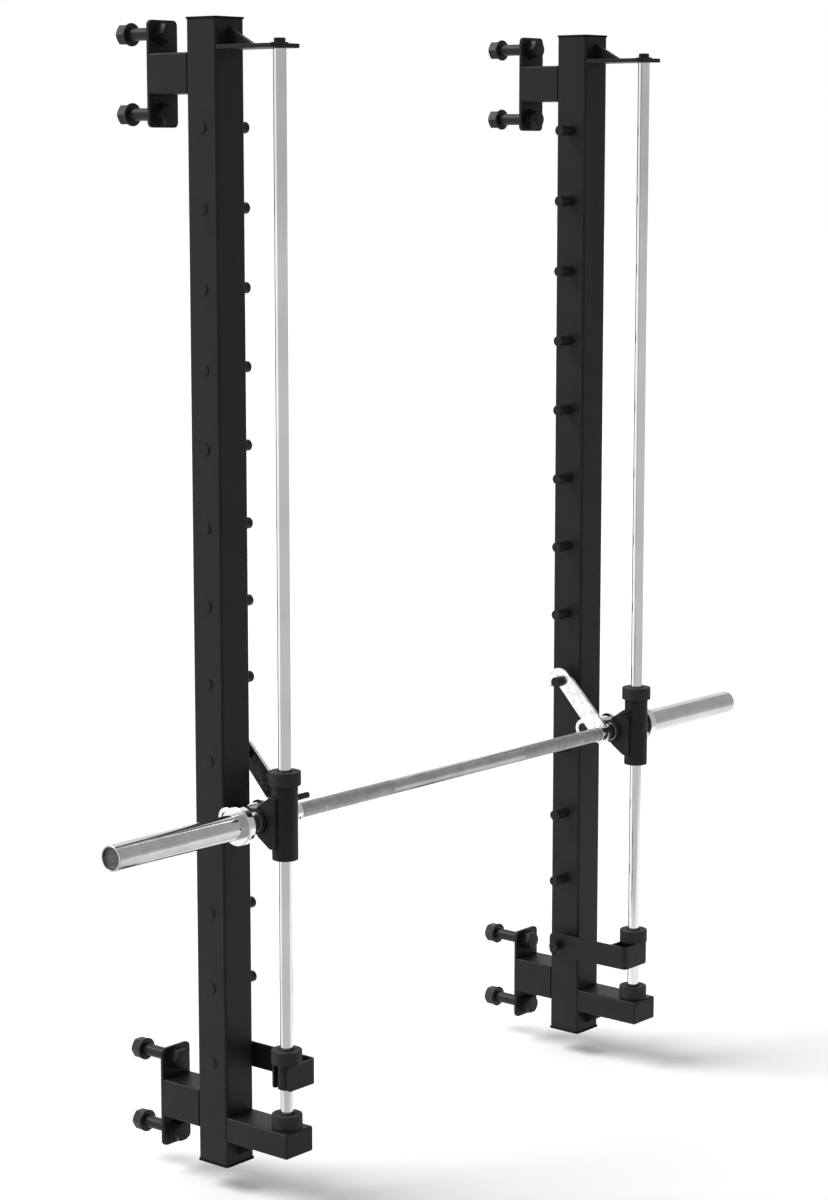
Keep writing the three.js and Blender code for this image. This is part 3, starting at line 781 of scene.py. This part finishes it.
# ---- safety stop ----
def stop_strip(lo, hi):
    """The strip in plan, trimmed to its outlines from the side and the front, with the peg's slot."""
    thick, bend = STOP["thick"], STOP["bend"]
    corner, end_corner = STOP["corner"], STOP["end_corner"]
    plan = [(lo.x, hi.y), (lo.x, lo.y, bend), (hi.x, lo.y), (hi.x, lo.y + thick)]
    plan += [(lo.x + thick, lo.y + thick, bend - thick), (lo.x + thick, hi.y)]
    strip = prism(rounded(plan, steps=8), "Z", lo.z, hi.z)
    front, left, far = lo.y - FREE, lo.x - FREE, 4 * FREE
    side = [(front, lo.z), (hi.y, lo.z, corner), (hi.y, hi.z, corner), (front, hi.z)]
    strip = combine(strip, prism(rounded(side, steps=8), "X", lo.x - far, hi.x + far), "INTERSECT")
    end = [(left, lo.z), (hi.x, lo.z, end_corner), (hi.x, hi.z, end_corner), (left, hi.z)]
    strip = combine(strip, prism(rounded(end, steps=6), "Y", front, hi.y + FREE), "INTERSECT")
    half = PEG_R + SLIP
    slot = [(UPRIGHT_Y - half, lo.z - FREE)]
    slot += arc((UPRIGHT_Y, LOWEST_PEG_Z), half, math.pi, 0, 16)
    slot += [(UPRIGHT_Y + half, lo.z - FREE)]
    return cut(strip, prism(slot, "X", left - FREE, lo.x + thick + FREE))


def build_stop():
    """A strip hung on a peg and bent round in front of the rod, a second cross plate and a tube."""
    lo, hi = mm_box("right_stop_bracket")
    both(stop_strip(lo, hi), "stop_strip", COAT, "stop_bracket", bevel=0.7)
    start, corner = lo.x + STOP["thick"] - SINK, STOP["end_corner"]
    rear_y = 2 * ROD_Y - lo.y
    outline = [(start, lo.z), (hi.x, lo.z, corner), (hi.x, hi.z, corner), (start, hi.z)]
    rear_plate = prism(rounded(outline, steps=6), "Y", rear_y - STOP["thick"], rear_y)
    rear_plate = cut(rear_plate, rod(ROD_R + RUNNING, "Z", ROD_CENTRE, lo.z - FREE, hi.z + FREE, 0))
    both(rear_plate, "stop_rear_plate", COAT, "stop_bracket", stands=False, bevel=0.7)
    guide = ring(STOP["tube_r"], ROD_R + RUNNING, "Z", ROD_CENTRE, lo.z, hi.z)
    both(guide, "stop_guide", COAT, "stop_bracket", stands=False)


# ---- carriage ----
def build_post():
    """The tube round the rod, turned down in a thin groove under the collar."""
    lo, hi = mm_box("right_carriage_frame")
    r, bore = POST["r"], POST["bore"]
    groove_z = mm_box("right_carriage_collar")[0].z - POST["groove_from_collar"]
    groove_r, groove_top = r - POST["groove"], groove_z + POST["groove_width"]
    post = [(bore, lo.z, 0.8), (r, lo.z, 1.4), (r, groove_z, 0.25), (groove_r, groove_z, 0)]
    post += [(groove_r, groove_top, 0), (r, groove_top, 0.25), (r, hi.z, 0.5), (bore, hi.z, 0.5)]
    both(lathe(rounded(post), "Z", ROD_CENTRE, 96), "carriage_post", COAT, "carriage_frame")


def build_cheeks():
    """Two plates behind the post that carry the bearing's housing."""
    front, shoulder = ROD_Y + CHEEK["front"], ROD_Y + CHEEK["shoulder"]
    low, high = BAR_Z - CHEEK["half"], BAR_Z + CHEEK["half"]
    outline = [(front, low), (shoulder, low), (BAR_Y, BAR_Z - CHEEK["rear_half"])]
    outline += [(BAR_Y, BAR_Z + CHEEK["rear_half"]), (shoulder, high), (front, high)]
    for name, side in (("inner", -1), ("outer", 1)):
        x = UNIT_X + side * CHEEK["offset"]
        cheek = prism(rounded(outline, 1.5), "X", x - CHEEK["thick"] / 2, x + CHEEK["thick"] / 2)
        both(cheek, f"carriage_{name}_cheek", COAT, "carriage_frame", stands=False, bevel=0.8)


def build_housing():
    """The short tube between the cheeks that holds the bar's bearing."""
    half = HOUSING["half"]
    housing = ring(HOUSING["r"], HOUSING["bore"], "X", BAR_CENTRE, UNIT_X - half, UNIT_X + half, 1.2)
    both(housing, "bearing_housing", COAT, "carriage_frame", stands=False)


def build_lug():
    """The arm behind the housing that carries the rollers' axle."""
    lo, hi = mm_box("right_roller_axle")
    axle = ((lo.y + hi.y) / 2, (lo.z + hi.z) / 2)
    r, half, start = LUG["r"], LUG["half"], BAR_Y + LUG["start"]
    nose = arc(axle, r, -math.pi / 2, math.pi / 2, 16)
    outline = [(start, BAR_Z - r)] + nose + [(start, BAR_Z + r)]
    lug = prism(outline, "X", UNIT_X - half, UNIT_X + half)
    lug = cut(lug, rod(LUG["bore"], "X", axle, UNIT_X - half - PAST, UNIT_X + half + PAST, 0))
    both(lug, "roller_lug", COAT, "carriage_frame", stands=False, bevel=0.8)


def build_stop_pin():
    """A round pin on the inner side of the post."""
    x0, x1 = mm_box("right_carriage_frame")[0].x, UNIT_X - STOP_PIN["inner_end"]
    pin = rod(STOP_PIN["r"], "X", (ROD_Y, STOP_PIN["z"]), x0, x1, edge=STOP_PIN["edge"], steps=40)
    both(pin, "stop_pin", COAT, "carriage_frame", stands=False)


def build_bearing():
    lo, hi = mm_box("right_bar_bearing")
    r, bore = RACE["r"], RACE["bore"]
    race = [(bore, lo.x, 0.3), (r, lo.x, 0.6), (r, hi.x, 0.6), (bore, hi.x, 0.3)]
    both(lathe(rounded(race), "X", BAR_CENTRE), "bar_bearing", BEARING, "bar_bearing")
    r, bore, x0, x1 = SEAL["r"], SEAL["bore"], lo.x + SEAL["inset"], hi.x - SEAL["inset"]
    seal = lathe(rounded([(bore, x0), (r, x0), (r, x1), (bore, x1)], 0.4), "X", BAR_CENTRE)
    both(seal, "bearing_seal", RUBBER, "bar_bearing", stands=False)


def build_rollers():
    """Two flanged halves on one axle. Profiles run outwards from the unit's centre plane."""
    lo, hi = mm_box("right_outer_guide_roller")
    centre = ((lo.y + hi.y) / 2, (lo.z + hi.z) / 2)
    end = hi.x - UNIT_X
    bore, r, flange_r, core_r = ROLLER["bore"], ROLLER["r"], ROLLER["flange_r"], ROLLER["core_r"]
    start, flange, recess = ROLLER["start"], end - ROLLER["flange"], end - ROLLER["recess"]
    profile = [(bore, start, 0.3), (r, start, 0.6), (r, flange, 0.8), (flange_r, flange, 1.2)]
    profile += [(flange_r, end, 1.4), (core_r, end, 0.6), (core_r, recess, 0.3), (bore, recess, 0.2)]
    for name, sign in (("inner", -1), ("outer", 1)):
        turned = [(r, UNIT_X + sign * along) for r, along in rounded(profile, steps=4)]
        both(lathe(turned, "X", centre), f"{name}_guide_roller", CHROME, f"{name}_guide_roller")
    r, head_r, head = AXLE["r"], AXLE["head_r"], end - AXLE["head"]
    profile = [(0, -end), (head_r, -end, 1), (head_r, -head, 0.3), (r, -head, 0.2)]
    profile += [(r, head, 0.2), (head_r, head, 0.3), (head_r, end, 1), (0, end)]
    axle = [(r, UNIT_X + along) for r, along in rounded(profile, steps=4)]
    both(lathe(axle, "X", centre), "roller_axle", BOLTS, "roller_axle")


# ---- bar ----
def radial_tool(r, x, angle, reach):
    """A cylinder that points outwards from the bar's axis, at an angle above the -Y direction."""
    bm = bmesh.new()
    size = {"radius1": r * MM, "radius2": r * MM, "depth": reach * MM}
    bmesh.ops.create_cone(bm, cap_ends=True, segments=24, **size)
    out = Vector((0, -math.cos(angle), math.sin(angle)))
    middle = Vector((x, BAR_Y, BAR_Z)) * MM + out * (reach / 2 * MM)
    turn = Vector((0, 0, 1)).rotation_difference(out).to_matrix().to_4x4()
    bmesh.ops.transform(bm, matrix=Matrix.Translation(middle) @ turn, verts=bm.verts)
    return to_object(bm)


def screw_hole(obj, x, size):
    """Opens the hole that a set screw sits in."""
    return cut(obj, radial_tool(size["hole_r"], x, math.radians(size["angle"]), size["reach"]))


def set_screw(name, node, x, size, surface_r):
    """A small socket screw, 3 mm long, sunk below a turned surface."""
    r, angle, top = size["r"], math.radians(size["angle"]), surface_r - size["sunk"]
    screw = cut(radial_tool(r, x, angle, top), radial_tool(r + 1, x, angle, top - 3))
    screw = cut(screw, radial_tool(r * 0.45, x, angle, surface_r + 1))
    floor = cut(radial_tool(r * 0.9, x, angle, top - 1.2), radial_tool(r + 1, x, angle, top - 2.8))
    both(weld(screw, floor), name, BOLTS, node, stands=False, bevel=0.1)


def hook_outline():
    """The hook in side view: a round base on the bar, an arm up to the peg and a round head over it."""
    bar = BAR_CENTRE
    peg = (UPRIGHT_Y, LOWEST_PEG_Z + HOOK_PEG * PEG_PITCH)
    head_r, back_r, base_r, seat_r = HOOK["head_r"], HOOK["back_r"], HOOK["base_r"], PEG_R + SLIP
    along = math.atan2(peg[1] - bar[1], peg[0] - bar[0])
    reach = math.hypot(peg[0] - bar[0], peg[1] - bar[1])
    shift = HOOK["base_shift"]
    base = (bar[0] + shift * math.sin(along), bar[1] - shift * math.cos(along))

    def tangent(r, side):
        """The direction from both centres in which a line touches the base and a circle at the peg."""
        dx, dy = peg[0] - base[0], peg[1] - base[1]
        return math.atan2(dy, dx) + side * math.acos((base_r - r) / math.hypot(dx, dy))

    front, back = tangent(head_r, 1), tangent(back_r, -1)
    finger = reach + seat_r
    tip = along - math.acos((reach**2 + finger**2 - head_r**2) / (2 * reach * finger))
    tip_point = (bar[0] + finger * math.cos(tip), bar[1] + finger * math.sin(tip))
    tip_at_peg = math.atan2(tip_point[1] - peg[1], tip_point[0] - peg[0])
    seat_end = back - math.acos(back_r / seat_r)
    points = arc(base, base_r, front, back + 2 * math.pi, 28)
    points += arc(peg, seat_r, seat_end + 2 * math.pi, along, 24)
    points += arc(bar, finger, along, tip + HOOK_TIP["at_bar"], 6)[1:]
    points += arc(peg, head_r, tip_at_peg + HOOK_TIP["at_peg"], front, 30)
    return points


def build_hook():
    lo, hi = mm_box("right_hook")
    x0 = lo.x + HOOK["plate_at"]
    x1 = x0 + HOOK["thick"]
    hole = rod(HOOK["hole_r"], "X", BAR_CENTRE, x0 - PAST, x1 + PAST, 0)
    plate = cut(prism(hook_outline(), "X", x0, x1), hole)
    both(plate, "hook_plate", ZINC, "hook", bevel=0.8)
    hub = ring(HOOK["hub_r"], BAR_R + 0.2, "X", BAR_CENTRE, lo.x, hi.x, 1.4)
    screw_x = lo.x + HOOK_SCREW["from_end"]
    hub = screw_hole(hub, screw_x, HOOK_SCREW)
    both(hub, "hook_hub", CHROME, "hook", stands=False)
    set_screw("hook_set_screw", "hook", screw_x, HOOK_SCREW, HOOK["hub_r"])


def build_flange(start, bore):
    """The sleeve's hub and the flange that a plate rests against."""
    hub_r, flange_r = SLEEVE["hub_r"], SLEEVE["flange_r"]
    x0, x1 = SLEEVE["flange_x"], SLEEVE["tube_x"]
    profile = [(bore, start, 0.4), (hub_r, start, 1), (hub_r, x0, 0.8), (flange_r, x0, 2.2)]
    profile += [(flange_r, x1, 2.2), (bore, x1, 0)]
    flange = lathe(rounded(profile), "X", BAR_CENTRE, 112)
    both(flange, "sleeve_flange", CHROME, "sleeve", stands=False)


def build_sleeve():
    lo, hi = mm_box("right_sleeve")
    bore = BAR_R + RUNNING
    build_flange(lo.x, bore)
    r, end_bore = SLEEVE["r"], SLEEVE["bore"]
    start, step = SLEEVE["tube_x"] + SEAM, SLEEVE["step_x"]
    profile = [(bore, start), (r, start), (r, hi.x, 1.2)]
    profile += [(end_bore, hi.x, 0.6), (end_bore, step), (bore, step)]
    sleeve = lathe(rounded(profile), "X", BAR_CENTRE, 112)
    screw_x = SLEEVE["tube_x"] + SLEEVE_SCREW["from_end"]
    sleeve = screw_hole(sleeve, screw_x, SLEEVE_SCREW)
    both(sleeve, "sleeve", SLEEVE_CHROME, "sleeve")
    set_screw("sleeve_set_screw", "sleeve", screw_x, SLEEVE_SCREW, r)
    build_end_plug(hi.x)


def build_end_plug(end):
    """A plastic plug with a raised rim and a dished middle, set back from the sleeve's end."""
    r, back, face = END_PLUG["r"], end - END_PLUG["depth"], end - END_PLUG["face"]
    profile = [(0, back), (r, back, 0.2), (r, face, 1.2), (END_PLUG["rim_r"], face, 0.8)]
    profile += [(END_PLUG["dish_r"], end - END_PLUG["dish"], 0.6), (0, end - END_PLUG["middle"])]
    plug = lathe(rounded(profile), "X", BAR_CENTRE)
    both(plug, "sleeve_plug", PLUG, "sleeve", stands=False)


def build_shaft():
    groove, run_out, end = BAR_R - GROOVE["depth"], GROOVE["run_out"], BAR_HI.x
    half = [(BAR_R, 0)]
    for x0, x1 in KNURL_ZONES:
        half += [(BAR_R, x0 - run_out), (groove, x0), (groove, x1), (BAR_R, x1 + run_out)]
    half += [(BAR_R, end - 1), (BAR_R - 1, end), (0, end)]
    profile = [(r, -x) for r, x in reversed(half)] + half[1:]
    shaft = lathe(profile, "X", BAR_CENTRE, 96)
    dress(shaft, "bar_shaft_turned", TURNED, "bar", ["bar_shaft"])


def bar_point(x, r, k):
    """The k-th point round the bar at one place along it."""
    a = 2 * math.pi * k / KNURL["around"]
    return Vector((x, BAR_Y + r * math.cos(a), BAR_Z + r * math.sin(a))) * MM


def knurl_grid(bm, x0, x1):
    """Rows of points round the bar, every other one raised, staggered from row to row."""
    around = KNURL["around"]
    step = 2 * math.pi * BAR_R / around
    rows = 2 * round((x1 - x0) / step / 2)
    grid = []
    for i in range(rows + 1):
        x = x0 + (x1 - x0) * i / rows
        line = []
        for k in range(around):
            peak = (i + k) % 2 == 0 and 0 < i < rows
            r = BAR_R + KNURL["point"] if peak else BAR_R - KNURL["depth"]
            line.append(bm.verts.new(bar_point(x, r, k)))
        grid.append(line)
    return grid


def build_knurl(number, x0, x1):
    """Small four-sided points whose valleys cross diagonally, with both ends turned in to the shaft."""
    around = KNURL["around"]
    bm = bmesh.new()
    grid = knurl_grid(bm, x0, x1)
    for i, (row, following) in enumerate(zip(grid, grid[1:])):
        for k in range(around):
            m = (k + 1) % around
            a, b, c, d = row[k], row[m], following[m], following[k]
            split = ((a, b, d), (b, c, d)) if (i + k) % 2 == 0 else ((a, b, c), (a, c, d))
            for face in split:
                bm.faces.new(face)
    for row, x in ((grid[0], x0), (grid[-1], x1)):
        inner = [bm.verts.new(bar_point(x, BAR_R - KNURL["core"], k)) for k in range(around)]
        for k in range(around):
            m = (k + 1) % around
            bm.faces.new((row[k], row[m], inner[m], inner[k]))
    obj = to_object(bm)
    twin = mirrored(obj)
    for side, piece in (("right", obj), ("left", twin)):
        piece.name = f"{side}_knurl_{number}"
        piece.data.name = piece.name
        piece.data.materials.append(KNURLED)
        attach(piece, "bar")


def dress_hidden_nodes():
    """The bushes sit inside the carriage posts. Their CAD shape stays and takes a procedural material."""
    for side in ("left", "right"):
        data = frame["nodes"][f"{side}_linear_bush"].data
        data.materials.clear()
        data.materials.append(BRONZE)


# ---- surroundings ----
def backdrop_share(nodes, links, coordinates):
    """0 towards the user's side and 1 towards the bright backdrop behind the object."""
    unit = nodes.new("ShaderNodeVectorMath")
    unit.operation = "NORMALIZE"
    links.new(coordinates, unit.inputs[0])
    dot = nodes.new("ShaderNodeVectorMath")
    dot.operation = "DOT_PRODUCT"
    dot.inputs[1].default_value = BACKDROP
    links.new(unit.outputs["Vector"], dot.inputs[0])
    spread = nodes.new("ShaderNodeMapRange")
    spread.inputs["From Min"].default_value = BACKDROP_EDGE[0]
    spread.inputs["From Max"].default_value = BACKDROP_EDGE[1]
    links.new(dot.outputs["Value"], spread.inputs["Value"])
    return spread.outputs["Result"]


def build_floor():
    """Painted white near the object and towards the backdrop as a pool of light, grey elsewhere as shade."""
    half, drop = FLOOR["half"], FLOOR["drop"]
    bm = bmesh.new()
    corners = ((-half, -half), (half, -half), (half, half), (-half, half))
    bm.faces.new([bm.verts.new((x, y, -drop)) for x, y in corners])
    floor = to_object(bm, "floor")
    s = Surface("floor_painted_light", Roughness=0.9, Specular_IOR_Level=0.1)
    # painted light: the floor is painted white towards the bright backdrop
    share = backdrop_share(s.nodes, s.links, s.coordinates)
    length = s.nodes.new("ShaderNodeVectorMath")
    length.operation = "LENGTH"
    s.links.new(s.coordinates, length.inputs[0])
    near = s.map_range(length.outputs["Value"], *PAINTED_LIGHT_POOL)
    forward = s.nodes.new("ShaderNodeVectorMath")
    forward.operation = "DOT_PRODUCT"
    forward.inputs[1].default_value = USER_SIDE
    s.links.new(s.coordinates, forward.inputs[0])
    painted_light_pool = s.arithmetic("MULTIPLY", near, s.map_range(forward.outputs["Value"], *USER_EDGE))
    # painted light and shade: white in the painted pool of light and towards the backdrop, grey elsewhere
    s.colour(s.arithmetic("MAXIMUM", share, painted_light_pool), grey(0.48), grey(0.94), 0.0, 1.0)
    floor.data.materials.append(s.material)


def build_world():
    """Bright behind the object and greyer on the user's side, so round metal shows both."""
    world = bpy.data.worlds.new("studio")
    bpy.context.scene.world = world
    world.use_nodes = True
    nodes, links = world.node_tree.nodes, world.node_tree.links
    direction = nodes.new("ShaderNodeTexCoord").outputs["Generated"]
    share = backdrop_share(nodes, links, direction)
    ramp = nodes.new("ShaderNodeValToRGB")
    ramp.color_ramp.elements[0].color = (0.5, 0.5, 0.5, 1)
    ramp.color_ramp.elements[1].color = (1.0, 1.0, 1.0, 1)
    links.new(share, ramp.inputs["Fac"])
    background = nodes["Background"]
    links.new(ramp.outputs["Color"], background.inputs["Color"])
    background.inputs["Strength"].default_value = 1.0


def build_key_light():
    """A distant soft light that shines from one direction."""
    data = bpy.data.lights.new("key", "SUN")
    data.angle = math.radians(KEY_LIGHT["spread"])
    data.energy = KEY_LIGHT["power"]
    lamp = bpy.data.objects.new("key", data)
    lamp.rotation_euler = Vector(KEY_LIGHT["towards"]).to_track_quat("Z", "Y").to_euler()
    bpy.context.scene.collection.objects.link(lamp)


def build_camera():
    data = bpy.data.cameras.new("camera")
    data.lens = CAMERA["lens"]
    data.sensor_width = CAMERA["sensor"]
    data.clip_end = CAMERA["far"]
    camera = bpy.data.objects.new("camera", data)
    camera.location = CAMERA["at"]
    yaw, pitch = math.radians(CAMERA["yaw"]), math.radians(CAMERA["pitch"])
    look = Vector((math.cos(pitch) * math.cos(yaw), math.cos(pitch) * math.sin(yaw), math.sin(pitch)))
    camera.rotation_euler = look.to_track_quat("-Z", "Y").to_euler()
    bpy.context.scene.collection.objects.link(camera)
    bpy.context.scene.camera = camera


build_upright()
build_pegs()
build_cap("top_cap", 1)
build_cap("bottom_cap", -1)
build_top_plate()
build_rod_bolt()
build_guide_rod()
build_foot_arm()
build_collar("foot_collar", ROD_R + SLIP)
build_collar("stop_collar", ROD_R + SLIP)
build_collar("carriage_collar", COLLAR["seat_r"])
for bracket in ("bottom_bracket", "top_bracket"):
    build_bracket(bracket)
build_rack_fasteners()
build_stop()
build_post()
build_cheeks()
build_housing()
build_lug()
build_stop_pin()
build_bearing()
build_rollers()
build_hook()
build_sleeve()
build_shaft()
for zone, (start, stop) in enumerate(KNURL_ZONES):
    build_knurl(zone + 1, start, stop)
dress_hidden_nodes()
build_floor()
build_world()
build_key_light()
build_camera()
bpy.context.scene.view_settings.view_transform = "Standard"
